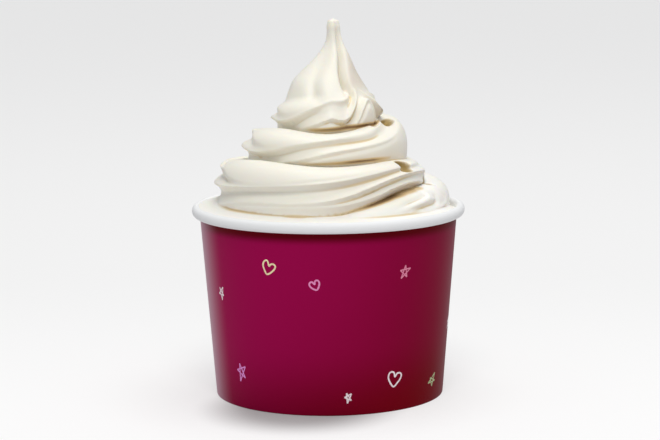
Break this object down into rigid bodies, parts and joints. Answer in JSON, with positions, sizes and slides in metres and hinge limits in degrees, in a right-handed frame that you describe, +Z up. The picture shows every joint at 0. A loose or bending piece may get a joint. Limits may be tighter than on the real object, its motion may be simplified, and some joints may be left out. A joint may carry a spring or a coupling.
{
  "type": "ice cream cup",
  "caption": "Round paper cup with a rolled rim, filled to the brim and heaped with a coiled, ridged swirl of frozen yogurt drawn up to a point.",
  "frame": {"origin": "on the floor under the middle of the cup", "axes": "+Z up through the cup's axis, -Y the front that the picture shows, +X its right"},
  "size_m": [0.112, 0.112, 0.1546],
  "materials": {
    "printed_paper": "maroon printed board with a satin coat, its rolled rim left white",
    "white_paper": "plain white board",
    "frozen_yogurt": "cream coloured, soft and slightly moist"
  },
  "bodies": {
    "root": {"cup_sidewall": "printed_paper", "cup_bottom": "white_paper", "frozen_yogurt": "frozen_yogurt"}
  },
  "joints": []
}
